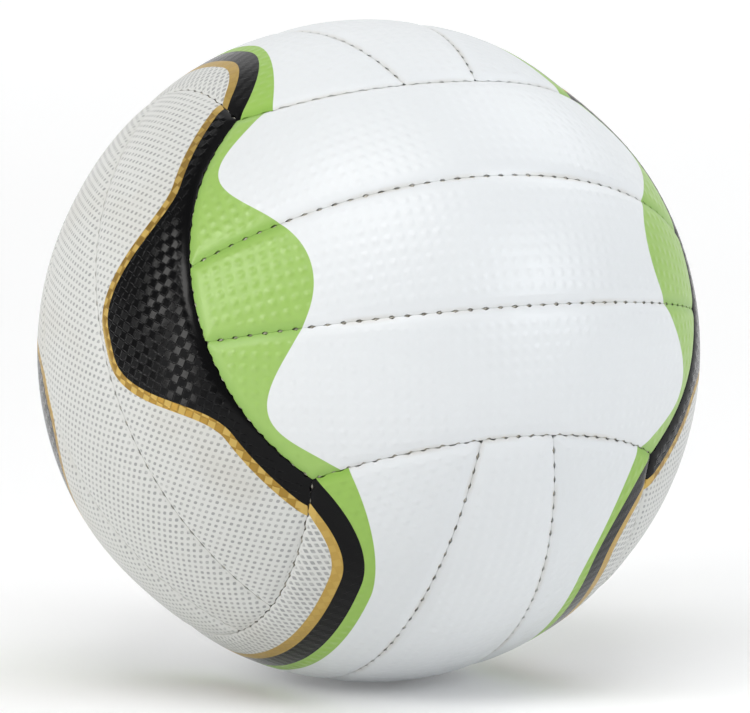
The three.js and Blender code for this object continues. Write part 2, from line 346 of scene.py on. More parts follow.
def even_lines(cells, inset):
    return np.arange(cells + 1) / cells, np.full(cells + 1, inset)


# The angles where the lines of a strip cross, with its edges opened at the stitches by a share
def strip_grid(strip, row_lines, column_lines, opened):
    row_share, row_inset = (part[:, None] for part in row_lines)
    column_share, column_inset = (part[None, :] for part in column_lines)
    along = np.zeros((row_share.size, column_share.size))
    across = np.zeros_like(along)
    row_pull = opened * np.exp(-((row_inset / EYE_REACH) ** 2))
    column_pull = opened * np.exp(-((column_inset / EYE_REACH) ** 2))
    for _ in range(GRID_ROUNDS):
        low, high = strip_limits(strip, along)
        low_run = side_seam_run(along) if strip == 0 else strip_seam_run(along)
        high_run = side_seam_run(along) if strip == 2 else strip_seam_run(along)
        low = low + (LIP_GAP / 2 + column_inset + column_pull * eye(low_run)) / RADIUS
        high = high - (LIP_GAP / 2 + column_inset + column_pull * eye(high_run)) / RADIUS
        across = mix(low, high, column_share)
        inset = LIP_GAP / 2 + row_inset + row_pull * eye(end_seam_run(CORNER_ALONG, across))
        along = (2 * row_share - 1) * end_angle(across, inset)
    return along, across


# Distances from the nearest end and from the two long seams of a strip, in millimetres
def edge_distances(strip, along, across):
    low, high = strip_limits(strip, along)
    to_end = (end_angle(across, 0) - np.abs(along)) * np.cos(across) * RADIUS
    return [np.maximum(part, 0) for part in (to_end, (across - low) * RADIUS, (high - across) * RADIUS)]


def roll(distance, lip_drop):
    valley = np.clip(1 - distance / VALLEY_WIDTH, 0, 1)
    lip = np.clip(1 - distance / LIP_WIDTH, 0, 1)
    return VALLEY_DEPTH * valley * valley + lip_drop * (1 - np.sqrt(1 - lip * lip))


def pillow(distance):
    share = np.clip(1 - distance / PILLOW_WIDTH, 0, 1)
    return PILLOW_DEPTH * share * share


# Depth of a strip's surface: its lips drop more at the seams between faces than at those inside a face
def crown_depth(strip, along, across):
    distances = edge_distances(strip, along, across)
    low_drop = FACE_LIP_DROP if strip == 0 else STRIP_LIP_DROP
    high_drop = FACE_LIP_DROP if strip == 2 else STRIP_LIP_DROP
    drops = (FACE_LIP_DROP, low_drop, high_drop)
    rolled = sum(roll(distance, drop) ** ROLL_BLEND for distance, drop in zip(distances, drops))
    rolled = rolled ** (1 / ROLL_BLEND)
    return rolled + pillow(np.minimum.reduce(distances))


def face_axes(normal, along):
    normal = np.array(normal, float)
    along = np.array(along, float)
    return normal, along, np.cross(normal, along)


# Points of a face in the ball's own axes, by their angles and their depth under the crown
def face_points(axes, along, across, depth):
    normal, lengthwise, crosswise = axes
    direction = (np.cos(across) * np.cos(along))[..., None] * normal
    direction = direction + (np.cos(across) * np.sin(along))[..., None] * lengthwise
    direction = direction + np.sin(across)[..., None] * crosswise
    return direction * (RADIUS - depth)[..., None]


# Signed distances to the printed edges, in millimetres, negative inside each edge's field
def front_print(along, across):
    turn = 2 * math.pi * np.degrees(across) / GREEN_WAVE_PERIOD
    wave = np.cos(turn) + GREEN_WAVE_FULLNESS * np.sin(turn) ** 2
    edge = np.radians(GREEN_WAVE_MIDDLE - GREEN_WAVE_SWING * wave)
    steepness = np.sin(turn) * (1 - 2 * GREEN_WAVE_FULLNESS * np.cos(turn))
    slope = np.radians(GREEN_WAVE_SWING) * steepness * 360 / GREEN_WAVE_PERIOD
    to_green = (edge - np.abs(along)) * np.cos(across) * RADIUS / np.hypot(1, slope)
    away = np.full(along.shape, FAR_AWAY)
    return {"green_edge": to_green, "black_edge": away, "gold_edge": away, "dot_edge": away}


def side_print(along, across):
    share = np.clip((np.degrees(np.abs(along)) - WAIST_START) / WAIST_LENGTH, 0, 1)
    half = np.radians(mix(DOT_WAIST, DOT_WIDEST, (1 - np.cos(math.pi * share)) / 2))
    slope = (DOT_WIDEST - DOT_WAIST) * math.pi / 2 / WAIST_LENGTH * np.sin(math.pi * share)
    to_dots = (np.abs(across) - half) * RADIUS / np.hypot(1, slope)
    inside = np.full(along.shape, -FAR_AWAY)
    to_gold = to_dots - GOLD_WIDTH
    return {"green_edge": inside, "black_edge": inside, "gold_edge": to_gold, "dot_edge": to_dots}


def cap_print(along, across):
    edges = {}
    for name, (middle, growth, start, power) in CAP_EDGES.items():
        beyond = np.maximum(np.degrees(np.abs(along)) - start, 0)
        half = np.radians(middle + growth * beyond ** power)
        slope = growth * power * beyond ** (power - 1)
        edges[name] = (half - np.abs(across)) * RADIUS / np.hypot(1, slope)
    return edges


PRINTS = {
    "front": front_print,
    "back": front_print,
    "right": side_print,
    "left": side_print,
    "top": cap_print,
    "bottom": cap_print,
}


# Draws points in towards the centre, most at the eight corners of the ball
def drawn_in(points):
    reach = np.linalg.norm(points, axis=1)
    to_corner = np.abs(points).sum(axis=1) / (math.sqrt(3) * reach)
    off_corner = np.degrees(np.arccos(np.minimum(to_corner, 1))) / CORNER_SPREAD_ANGLE
    return points * (1 - CORNER_DIP * np.exp(-off_corner * off_corner) / reach)[:, None]


# Mesh building: faces as corner lists, each with its own place in the bake map
class MeshPlan:
    def __init__(self):
        self.points = []
        self.count = 0
        self.faces = []
        self.places = []

    def add_points(self, points):
        first = self.count
        flat = points.reshape(-1, 3)
        self.points.append(flat)
        self.count += len(flat)
        return np.arange(first, self.count).reshape(points.shape[:-1])

    def add_faces(self, corners, places):
        self.faces.extend(corners.tolist())
        self.places.append(places.reshape(-1, 2))

    def add_grid(self, index, u_lines, v_lines, flip):
        u, v = np.meshgrid(u_lines, v_lines)
        place = np.stack([u, v], axis=-1)
        order = ((0, 0), (1, 0), (1, 1), (0, 1))
        if flip:
            order = ((0, 0), (0, 1), (1, 1), (1, 0))
        rows, columns = index.shape
        corners = [index[r:rows - 1 + r, c:columns - 1 + c].ravel() for r, c in order]
        spots = [place[r:rows - 1 + r, c:columns - 1 + c].reshape(-1, 2) for r, c in order]
        self.add_faces(np.stack(corners, axis=1), np.stack(spots, axis=1))

    def add_band(self, upper, lower, v_upper, v_lower):
        count = len(upper)
        u = np.arange(count + 1) / count
        corners = np.stack([upper, np.roll(upper, -1), np.roll(lower, -1), lower], axis=1)
        top = np.full(count, v_upper)
        bottom = np.full(count, v_lower)
        spots = [(u[:-1], top), (u[1:], top), (u[1:], bottom), (u[:-1], bottom)]
        self.add_faces(corners, np.stack([np.stack(spot, axis=1) for spot in spots], axis=1))

    def add_fans(self, fine, coarse, v_fine, v_coarse):
        step = len(fine) // len(coarse)
        count = len(fine)
        fine_u = np.arange(count + 1) / count
        coarse_u = np.arange(len(coarse) + 1) / len(coarse)
        near = np.repeat(np.arange(len(coarse)), step)
        corners = np.stack([fine, np.roll(fine, -1), coarse[near]], axis=1)
        spots = [(fine_u[:-1], v_fine), (fine_u[1:], v_fine), (coarse_u[near], v_coarse)]
        places = [np.stack([u, np.full(len(u), v)], axis=1) for u, v in spots]
        self.add_faces(corners, np.stack(places, axis=1))
        joints = np.roll(fine[::step], -1)
        corners = np.stack([joints, np.roll(coarse, -1), coarse], axis=1)
        spots = [(coarse_u[1:], v_fine), (coarse_u[1:], v_coarse), (coarse_u[:-1], v_coarse)]
        places = [np.stack([u, np.full(len(u), v)], axis=1) for u, v in spots]
        self.add_faces(corners, np.stack(places, axis=1))

    def build(self, name):
        points = drawn_in(np.concatenate(self.points)) @ AT_REST.T
        points[:, 2] = np.maximum(points[:, 2], CONTACT_DROP - RADIUS)
        points = points * MM
        mesh = bpy.data.meshes.new(name)
        mesh.from_pydata(points.tolist(), [], self.faces)
        layer = mesh.uv_layers.new(name="OFBake")
        layer.data.foreach_set("uv", np.concatenate(self.places).astype(np.float32).ravel())
        mesh.shade_smooth()
        mesh.update()
        piece = bpy.data.objects.new(name, mesh)
        bpy.context.scene.collection.objects.link(piece)
        return piece


def edge_loop(index):
    return np.concatenate([index[0, :-1], index[:-1, -1], index[-1, :0:-1], index[:0:-1, 0]])


def finish_piece(piece, material, slot_name, *nodes):
    piece.data.materials.append(material)
    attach(piece, "root")
    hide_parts(*nodes)


# Node graphs, written as sums of small steps
class Surface:
    def __init__(self, name):
        self.material = bpy.data.materials.new(name)
        self.material.use_nodes = True
        self.tree = self.material.node_tree
        self.shader = self.tree.nodes["Principled BSDF"]

    def put(self, target, value):
        if isinstance(value, bpy.types.NodeSocket):
            self.tree.links.new(value, target)
        else:
            target.default_value = value

    def math(self, operation, *values):
        node = self.tree.nodes.new("ShaderNodeMath")
        node.operation = operation
        for target, value in zip(node.inputs, values):
            self.put(target, value)
        return node.outputs[0]

    def attribute(self, name):
        node = self.tree.nodes.new("ShaderNodeAttribute")
        node.attribute_name = name
        return node.outputs["Fac"]

    def ramp(self, value, low, high, start=0.0, stop=1.0):
        node = self.tree.nodes.new("ShaderNodeMapRange")
        node.interpolation_type = "SMOOTHSTEP"
        for target, part in zip(node.inputs, (value, low, high, start, stop)):
            self.put(target, part)
        return node.outputs[0]

    def noise(self, size, detail=2.0):
        place = self.tree.nodes.new("ShaderNodeTexCoord")
        node = self.tree.nodes.new("ShaderNodeTexNoise")
        node.inputs["Scale"].default_value = 1 / (size * MM)
        node.inputs["Detail"].default_value = detail
        self.put(node.inputs["Vector"], place.outputs["Object"])
        return node.outputs[0]

    def blend(self, share, first, second):
        node = self.tree.nodes.new("ShaderNodeMix")
        node.data_type = "RGBA"
        self.put(node.inputs["Factor"], share)
        self.put(node.inputs["A"], first)
        self.put(node.inputs["B"], second)
        return node.outputs["Result"]

    def between(self, share, first, second):
        near = self.math("MULTIPLY", self.math("SUBTRACT", 1.0, share), first)
        return self.math("ADD", near, self.math("MULTIPLY", share, second))

    def bump(self, height, distance):
        node = self.tree.nodes.new("ShaderNodeBump")
        node.inputs["Distance"].default_value = distance * MM
        self.put(node.inputs["Height"], height)
        return node


# A screen colour in linear light
def colour(red, green, blue):
    def linear(part):
        part = part / 255
        return part / 12.92 if part <= 0.04045 else ((part + 0.055) / 1.055) ** 2.4
    return (linear(red), linear(green), linear(blue), 1)


WHITE = colour(217, 220, 222)
GREEN = colour(146, 182, 90)
# Green painted darker near the seams, as painted shade in their valleys
GREEN_IN_SEAM_SHADE = colour(122, 164, 66)
BLACK = colour(5, 5, 6)
# Gold painted lighter as the glint on its tiles, and the gold between those painted glints
GLINTING_GOLD = colour(196, 166, 93)
GOLD_BETWEEN_GLINTS = colour(158, 126, 58)
DOT_GROUND = colour(205, 206, 203)
DOT_GREY = colour(154, 156, 155)
GRIME = colour(176, 168, 150)
THREAD = colour(208, 203, 190)
THREAD_SHADE = colour(172, 165, 150)
FOAM = colour(216, 208, 186)
FOAM_SHADE = colour(200, 190, 166)
RUBBER = colour(38, 38, 42)
RUBBER_SHADE = colour(50, 49, 52)
VALVE = colour(30, 30, 33)
VALVE_SHADE = colour(44, 43, 46)
FLOOR_LIGHT = (0.88, 0.88, 0.88, 1)
FLOOR_SHADE = (0.85, 0.85, 0.85, 1)


# The emboss on one lattice: the height of tiles set on the slant, which lean to and fro by turns,
# the flat tops of every other tile, where the gold gets a painted glint, and the height of the rounded
# scales under the white and green
def weave_pattern(surface):
    along = surface.math("DIVIDE", surface.attribute("along"), WEAVE_LATTICE)
    across = surface.math("DIVIDE", surface.attribute("across"), WEAVE_LATTICE)
    first = surface.math("ADD", along, across)
    second = surface.math("SUBTRACT", along, across)
    parity = surface.math("ADD", surface.math("FLOOR", first), surface.math("FLOOR", second))
    parity = surface.math("FLOORED_MODULO", parity, 2.0)
    side = surface.math("MULTIPLY_ADD", parity, -2.0, 1.0)
    inset = 0.0
    lean = 0.0
    for run in (first, second):
        off_middle = surface.math("SUBTRACT", surface.math("FRACT", run), 0.5)
        inset = surface.math("MAXIMUM", surface.math("ABSOLUTE", off_middle), inset)
        lean = surface.math("ADD", off_middle, lean)
    top = surface.ramp(inset, TILE_TOP, 0.5, 1.0, 0.0)
    lean = surface.math("MULTIPLY", lean, side)
    leaning = surface.math("MULTIPLY_ADD", lean, WEAVE_LEAN, WEAVE_RISE)
    weave = surface.math("MULTIPLY", top, leaning)
    scale = 1.0
    for place in (along, surface.math("ADD", across, 0.5)):
        off_middle = surface.math("SUBTRACT", surface.math("FRACT", place), 0.5)
        arch = surface.math("COSINE", surface.math("MULTIPLY", off_middle, math.pi))
        leaning = surface.math("MULTIPLY_ADD", off_middle, SCALE_LEAN, 1.0)
        scale = surface.math("MULTIPLY", scale, surface.math("MULTIPLY", arch, arch))
        scale = surface.math("MULTIPLY", scale, leaning)
    glint_tile = surface.math("MULTIPLY", top, surface.math("SUBTRACT", 1.0, parity))
    return weave, glint_tile, scale


# Dots on a slanted grid: rounded squares of a size, as a share of the grid's cell
def dot_mask(surface, size, roundness):
    along = surface.math("DIVIDE", surface.attribute("along"), 2 * DOT_SPREAD_ALONG)
    across = surface.math("DIVIDE", surface.attribute("across"), 2 * DOT_SPREAD_ACROSS)
    total = 0.0
    for operation in ("ADD", "SUBTRACT"):
        cell = surface.math(operation, along, across)
        off = surface.math("ABSOLUTE", surface.math("SUBTRACT", surface.math("FRACT", cell), 0.5))
        total = surface.math("ADD", surface.math("POWER", off, roundness), total)
    reach = surface.math("POWER", total, 1 / roundness)
    return surface.ramp(reach, size / 2 - DOT_SOFTNESS, size / 2 + DOT_SOFTNESS, 1.0, 0.0)


# The printed cover: white, green, black, gold and dotted fields, all in one embossed sheet
def cover_material(name, dot_size, dot_roundness, gloss, tiles):
    surface = Surface(name)
    seam = surface.attribute("seam")
    weave, glint_tile, scale = weave_pattern(surface)
    pressed_flat = surface.ramp(seam, *FLAT_MARGIN, 1.0, 0.0)
    # How much of the gold's painted glint each tile gets, full where the cover is pressed flat by the seams
    glint_tile = surface.between(glint_tile, GOLD_GLINT_EVENNESS * (1 - tiles), mix(GOLD_GLINT_EVENNESS, 1, tiles))
    glint_tile = surface.math("MAXIMUM", glint_tile, pressed_flat)
    dots = dot_mask(surface, dot_size, dot_roundness)
    dots = surface.math("MULTIPLY", dots, surface.ramp(seam, *DOT_MARGIN))
    faded = surface.ramp(surface.noise(DOT_FADE_PATCH), *DOT_FADE_WINDOW, DOT_FADE, 1.0)
    dotted = surface.blend(surface.math("MULTIPLY", dots, faded), DOT_GROUND, DOT_GREY)
    soiled = surface.noise(DOT_SOIL_PATCH, DOT_SOIL_DETAIL)
    soiled = surface.ramp(soiled, *DOT_SOIL_WINDOW, 0.0, DOT_SOIL)
    dotted = surface.blend(soiled, dotted, GRIME)
    grime = surface.ramp(surface.noise(SEAM_GRIME_PATCH, NOISE_DETAIL), *PATCH_WINDOW)
    grime = surface.math("MULTIPLY", grime, surface.ramp(seam, *SEAM_GRIME_REACH, SEAM_GRIME, 0.0))
    pale = surface.blend(grime, WHITE, GRIME)
    # The green is painted darker towards the seams: painted shade in the seam valleys
    green_with_seam_shade = surface.blend(surface.ramp(seam, *GREEN_SHADE_REACH, GREEN_SHADE, 0.0), GREEN, GREEN_IN_SEAM_SHADE)
    # Every other tile of the gold, and the gold along the seams, is painted lighter: a painted glint
    gold_with_painted_glints = surface.blend(glint_tile, GOLD_BETWEEN_GLINTS, GLINTING_GOLD)
    inks = (
        ("green_edge", green_with_seam_shade, GREEN_RELIEF),
        ("black_edge", BLACK, FOIL_RELIEF * tiles),
        ("gold_edge", gold_with_painted_glints, FOIL_RELIEF * tiles),
        ("dot_edge", dotted, DOT_RELIEF),
    )
    shade = pale
    relief = 1.0
    inside = {}
    for edge, ink, ink_relief in inks:
        distance = surface.attribute(edge)
        inside[edge] = surface.ramp(distance, -PRINT_SOFTNESS, PRINT_SOFTNESS, 1.0, 0.0)
        shade = surface.blend(inside[edge], shade, ink)
        relief = surface.between(inside[edge], relief, ink_relief)
    off_dots = surface.math("SUBTRACT", 1.0, inside["dot_edge"])
    on_foil = surface.math("MULTIPLY", inside["black_edge"], off_dots)
    on_gold = surface.math("MULTIPLY", inside["gold_edge"], off_dots)
    on_black = surface.math("SUBTRACT", on_foil, on_gold)
    satin = surface.ramp(surface.noise(SATIN_SIZE, NOISE_DETAIL), *WIDE_WINDOW, *SATIN_ROUGHNESS)
    surface.put(surface.shader.inputs["Base Color"], shade)
    surface.put(surface.shader.inputs["Metallic"], surface.math("MULTIPLY", on_gold, GOLD_METALLIC))
    surface.put(surface.shader.inputs["Roughness"], surface.between(on_black, satin, BLACK_ROUGHNESS))
    surface.shader.inputs["Specular IOR Level"].default_value = gloss
    height = surface.between(on_foil, scale, weave)
    height = surface.math("MULTIPLY", height, surface.math("SUBTRACT", 1.0, pressed_flat))
    emboss = surface.bump(surface.math("MULTIPLY", height, relief), WEAVE_HEIGHT)
    ripple = surface.bump(surface.noise(RIPPLE_SIZE), RIPPLE_HEIGHT)
    surface.put(ripple.inputs["Normal"], emboss.outputs["Normal"])
    grain = surface.bump(surface.noise(GRAIN_SIZE, NOISE_DETAIL), GRAIN_HEIGHT)
    surface.put(grain.inputs["Normal"], ripple.outputs["Normal"])
    surface.put(surface.shader.inputs["Normal"], grain.outputs["Normal"])
    return surface.material


# Plain materials of one main colour, mottled, with a grain
def plain_material(name, base, other, size, roughness, grain_size, grain_height):
    surface = Surface(name)
    mottle = surface.ramp(surface.noise(size, NOISE_DETAIL), *PATCH_WINDOW)
    surface.put(surface.shader.inputs["Base Color"], surface.blend(mottle, base, other))
    smoothest = roughness - ROUGHNESS_SPREAD
    roughest = roughness + ROUGHNESS_SPREAD
    rough = surface.ramp(surface.noise(size), *WIDE_WINDOW, smoothest, roughest)
    surface.put(surface.shader.inputs["Roughness"], rough)
    grain = surface.bump(surface.noise(grain_size, NOISE_DETAIL), grain_height)
    surface.put(surface.shader.inputs["Normal"], grain.outputs["Normal"])
    return surface.material


# Covers by their main field: the white and green ones show hardly any of the foil's tiles, in relief or in
# painted glint
covers = {
    "cover_white": cover_material("cover_white", dot_size=0.55, dot_roundness=3.0, gloss=0.6, tiles=0.2),
    "cover_green": cover_material("cover_green", dot_size=0.62, dot_roundness=5.0, gloss=0.15, tiles=0.2),
    "cover_black": cover_material("cover_black", dot_size=0.5, dot_roundness=3.0, gloss=0.14, tiles=1.0),
    "cover_dotted": cover_material("cover_dotted", dot_size=0.52, dot_roundness=3.0, gloss=0.14, tiles=1.0),
}
thread_material = plain_material(
    "waxed_thread", THREAD, THREAD_SHADE, size=1.5, roughness=0.75, grain_size=0.25, grain_height=0.05)
foam_material = plain_material(
    "foam_backing", FOAM, FOAM_SHADE, size=6, roughness=0.95, grain_size=0.8, grain_height=0.08)
rubber_material = plain_material(
    "bladder_rubber", RUBBER, RUBBER_SHADE, size=12, roughness=0.6, grain_size=1.2, grain_height=0.02)
valve_material = plain_material(
    "valve_rubber", VALVE, VALVE_SHADE, size=3, roughness=0.5, grain_size=0.5, grain_height=0.015)

# Cover panels
ROWS = graded_lines(ROW_CELLS, PANEL_INSETS)
COLUMNS = graded_lines(COLUMN_CELLS, PANEL_INSETS)
SET_BACK = (TUNNEL_WIDTH - LIP_GAP) / 2
FLANGE_INSET = SET_BACK + FLANGE_THICKNESS
INNER_MARGIN = 1.0
LIP_DEPTH = VALLEY_DEPTH + FACE_LIP_DROP + PILLOW_DEPTH


# The angles round a strip's edge, moved in from its seams by an inset
def edge_ring(strip, inset):
    rows = (ROWS[0], ROWS[1] + inset)
    columns = (COLUMNS[0], COLUMNS[1] + inset)
    return [edge_loop(part) for part in strip_grid(strip, rows, columns, 0.0)]


def panel_shape(strip):
    inner_rows = even_lines((len(ROWS[0]) - 1) // INNER_STEP, FLANGE_INSET + INNER_MARGIN)
    inner_columns = even_lines((len(COLUMNS[0]) - 1) // INNER_STEP, FLANGE_INSET + INNER_MARGIN)
    return {
        "outer": strip_grid(strip, ROWS, COLUMNS, 1.0),
        "inner": strip_grid(strip, inner_rows, inner_columns, 0.0),
        "wall": edge_ring(strip, SET_BACK),
        "foot": edge_ring(strip, FLANGE_INSET),
    }


# Round the valve the cover dips to a small land
def land_depth(points):
    off_axis = np.hypot(points[..., 0], points[..., 2]) - VALVE_HOLE_RADIUS
    dip = VALVE_LAND_DEPTH * (1 - smooth(0, VALVE_LAND_WIDTH, off_axis))
    return np.where(points[..., 1] > 0, dip, 0)


def sheet_points(axes, strip, angles, extra):
    along, across = angles
    depth = crown_depth(strip, along, across) + extra
    points = face_points(axes, along, across, depth)
    if axes[0][1] > 0:
        points = points * (1 - land_depth(points) / RADIUS)[..., None]
    return points


def level_points(axes, angles, depth):
    along, across = angles
    return face_points(axes, along, across, np.full(along.shape, depth))


# A cover panel: a crowned sheet whose edges roll down to the seams and turn in as flanges
def panel(axes, strip, shape, name):
    plan = MeshPlan()
    outer = plan.add_points(sheet_points(axes, strip, shape["outer"], 0))
    rings = [
        edge_loop(outer),
        plan.add_points(level_points(axes, shape["wall"], LIP_DEPTH + TUNNEL_DEPTH)),
        plan.add_points(level_points(axes, shape["wall"], FLANGE_DEPTH)),
        plan.add_points(level_points(axes, shape["foot"], FLANGE_DEPTH)),
        plan.add_points(level_points(axes, shape["foot"], LIP_DEPTH + COVER_THICKNESS)),
    ]
    inner = plan.add_points(sheet_points(axes, strip, shape["inner"], COVER_THICKNESS))
    plan.add_grid(outer, np.linspace(0, 1, outer.shape[1]), np.linspace(*OUTER_MAP, outer.shape[0]), False)
    place = BAND_MAP_START
    for upper, lower in zip(rings, rings[1:]):
        plan.add_band(upper, lower, place, place + BAND_MAP_STEP)
        place = place + BAND_MAP_STEP
    plan.add_fans(rings[-1], edge_loop(inner), place, place + BAND_MAP_STEP)
    plan.add_grid(inner, np.linspace(0, 1, inner.shape[1]), np.linspace(*INNER_MAP, inner.shape[0]), True)
    return plan.build(name)


# A point's place on its strip laid out flat, the outer strips unrolled as cones
def laid_flat(strip, along, across):
    if strip == 1:
        return along * RADIUS, across * RADIUS
    middle = np.mean(strip_limits(strip, 0.0))
    apex = RADIUS / math.tan(middle) + middle * RADIUS
    reach = apex - across * RADIUS
    turn = along * math.sin(middle)
    return reach * np.sin(turn), apex - reach * np.cos(turn)


# Each point's place on its strip and its distances to the printed edges, for the cover's material
def paint(piece, face, axes, strip):
    flat = np.empty(3 * len(piece.data.vertices), np.float32)
    piece.data.vertices.foreach_get("co", flat)
    points = flat.reshape(-1, 3) @ AT_REST
    points = points / np.linalg.norm(points, axis=1)[:, None]
    normal, lengthwise, crosswise = axes
    along = np.arctan2(points @ lengthwise, points @ normal)
    across = np.arcsin(np.clip(points @ crosswise, -1, 1))
    values = PRINTS[face](along, across)
    values["along"], values["across"] = laid_flat(strip, along, across)
    values["seam"] = np.minimum.reduce(edge_distances(strip, along, across))
    for key, value in values.items():
        attribute = piece.data.attributes.new(key, "FLOAT", "POINT")
        attribute.data.foreach_set("value", value.astype(np.float32))


# Foam backings, between the flanges
PAD_INSET = FLANGE_INSET + FIT_CLEARANCE
PAD_ROWS = graded_lines(PAD_ROW_CELLS, PAD_INSETS + PAD_INSET)
PAD_COLUMNS = graded_lines(PAD_COLUMN_CELLS, PAD_INSETS + PAD_INSET)


def pad(axes, strip, angles, name):
    plan = MeshPlan()
    upper = plan.add_points(sheet_points(axes, strip, angles, COVER_THICKNESS + FIT_CLEARANCE))
    lower = plan.add_points(level_points(axes, angles, FLANGE_DEPTH))
    columns = np.linspace(0, 1, upper.shape[1])
    plan.add_grid(upper, columns, np.linspace(*PAD_UPPER_MAP, upper.shape[0]), False)
    plan.add_grid(lower, columns, np.linspace(*PAD_LOWER_MAP, lower.shape[0]), True)
    plan.add_band(edge_loop(upper), edge_loop(lower), *PAD_EDGE_MAP)
    return plan.build(name)


# Round pieces about the valve's axis, from a profile of radius and height
def lathe(name, profile, segments, closed):
    plan = MeshPlan()
    turns = 2 * math.pi * np.arange(segments) / segments
    rings = []
    for radius, height in profile:
        if radius == 0:
            rings.append(np.repeat(plan.add_points(np.array([[0, height, 0.0]])), segments))
            continue
        level = np.full(segments, height)
        ring = np.stack([radius * np.sin(turns), level, radius * np.cos(turns)], axis=1)
        rings.append(plan.add_points(ring))
    if closed:
        rings.append(rings[0])
    steps = len(rings) - 1
    for step in range(steps):
        upper, lower = rings[step], rings[step + 1]
        for turn in range(segments):
            following = (turn + 1) % segments
            corners = [upper[turn], upper[following], lower[following], lower[turn]]
            u = np.array([turn, turn + 1, turn + 1, turn]) / segments
            v = np.array([step, step, step + 1, step + 1]) / steps
            kept = [index for index in range(4) if corners[index] != corners[index - 1]]
            plan.add_faces(np.array([[corners[index] for index in kept]]), np.stack([u, v], axis=1)[kept])
    return plan.build(name)


# Cuts the valve's hole through a piece
def drill(piece):
    radius = VALVE_HOLE_RADIUS * MM
    bpy.ops.mesh.primitive_cylinder_add(vertices=VALVE_SEGMENTS, radius=radius, depth=RADIUS * MM)
    cutter = bpy.context.object
    axis = AT_REST @ np.array([0, 1, 0])
    cutter.location = axis * RADIUS * MM
    cutter.rotation_euler = (math.acos(axis[2]), 0, math.atan2(axis[0], -axis[1]))
    bpy.context.view_layer.objects.active = piece
    cut = piece.modifiers.new("valve_hole", "BOOLEAN")
    cut.object = cutter
    cut.operation = "DIFFERENCE"
    cut.solver = "EXACT"
    bpy.ops.object.modifier_apply(modifier=cut.name)
    bpy.data.objects.remove(cutter)


panel_shapes = [panel_shape(strip) for strip in range(3)]
pad_shapes = [strip_grid(strip, PAD_ROWS, PAD_COLUMNS, 0.0) for strip in range(3)]
for face, normal, lengthwise, strips in FACES:
    axes = face_axes(normal, lengthwise)
    for strip, strip_name in enumerate(strips):
        stem = f"{face}_{strip_name}"
        slot_name = FACE_SLOTS[face][strip]
        cover = panel(axes, strip, panel_shapes[strip], f"{stem}_cover")
        backing = pad(axes, strip, pad_shapes[strip], f"{stem}_foam")
        if stem == "back_middle":
            drill(cover)
            drill(backing)
        paint(cover, face, axes, strip)
        finish_piece(cover, covers[slot_name], slot_name, f"{stem}_panel")
        finish_piece(backing, foam_material, "backing", f"{stem}_backing")


# Sewing thread: dips under the lips between the eyes and shows in each eye, slanted over the seam
def thread_path(axes, seam, seam_run, end):
    count = int(2 * seam_run(end) / THREAD_STEP)
    along = np.linspace(-end, end, count)
    run = seam_run(along)
    stitch = np.round(run / STITCH_PITCH)
    off = run - stitch * STITCH_PITCH
    half_shown = THREAD_SHOWN / 2
    half_pitch = STITCH_PITCH / 2
    under = smooth(half_shown - THREAD_DIVE, half_shown, np.abs(off))
    high = THREAD_HIGH + THREAD_UNEVEN * np.sin(THREAD_STRIDE * stitch)
    depth = mix(high, THREAD_LOW, under)
    turn_back = (half_pitch - np.abs(off)) / (half_pitch - half_shown)
    swing = np.minimum(np.abs(off) / half_shown, turn_back)
    line = face_points(axes, along, seam(along), np.zeros(count))
    outward = line / RADIUS
    forward = np.gradient(line, axis=0)
    sideways = np.cross(outward, forward)
    sideways = sideways / np.linalg.norm(sideways, axis=1)[:, None]
    sway = THREAD_SWAY * np.sign(off) * swing
    return outward * (RADIUS - depth)[:, None] + sideways * sway[:, None], sideways


# A twisted thread along one or more paths
def thread(name, paths):
    plan = MeshPlan()
    turns = 2 * math.pi * np.arange(THREAD_SIDES + 1) / THREAD_SIDES
    circle = np.stack([np.cos(turns[:-1]), np.sin(turns[:-1])], axis=1)
    for number, (points, sideways) in enumerate(paths):
        forward = np.gradient(points, axis=0)
        forward = forward / np.linalg.norm(forward, axis=1)[:, None]
        upward = np.cross(forward, sideways)
        upward = upward / np.linalg.norm(upward, axis=1)[:, None]
        across = np.cross(upward, forward)
        twist = THREAD_STEP * np.arange(len(points))[:, None] / THREAD_TWIST_LENGTH * 2 * math.pi
        plies = 1 + PLY_DEPTH * np.cos(THREAD_PLIES * turns[None, :-1] + twist)
        radius = (THREAD_DIAMETER / 2 * plies)[..., None]
        ring = circle[None, :, :1] * across[:, None] + circle[None, :, 1:] * upward[:, None]
        tube = plan.add_points(points[:, None] + radius * ring)
        low = number / len(paths)
        wrapped = np.concatenate([tube, tube[:, :1]], axis=1)
        lines = np.linspace(low, low + THREAD_MAP / len(paths), len(points))
        plan.add_grid(wrapped, turns / (2 * math.pi), lines, False)
        ends = circle * THREAD_END_SPREAD + low + THREAD_END_MAP / len(paths)
        plan.add_faces(tube[:1], np.clip(ends, 0, 1)[None])
        plan.add_faces(tube[-1:, ::-1], np.clip(ends, 0, 1)[None])
    return plan.build(name)


strip_end = float(end_angle(strip_seam(np.array(CORNER_ALONG)), THREAD_END_INSET))
for face, normal, lengthwise, strips in FACES:
    axes = face_axes(normal, lengthwise)
    for side, strip_name in ((-1, strips[0]), (1, strips[2])):
        path = thread_path(axes, lambda along: side * strip_seam(along), strip_seam_run, strip_end)
        stitches = thread(f"{face}_{strip_name}_stitches", [path])
        finish_piece(stitches, thread_material, "thread", f"{face}_{strip_name}_seam_thread")


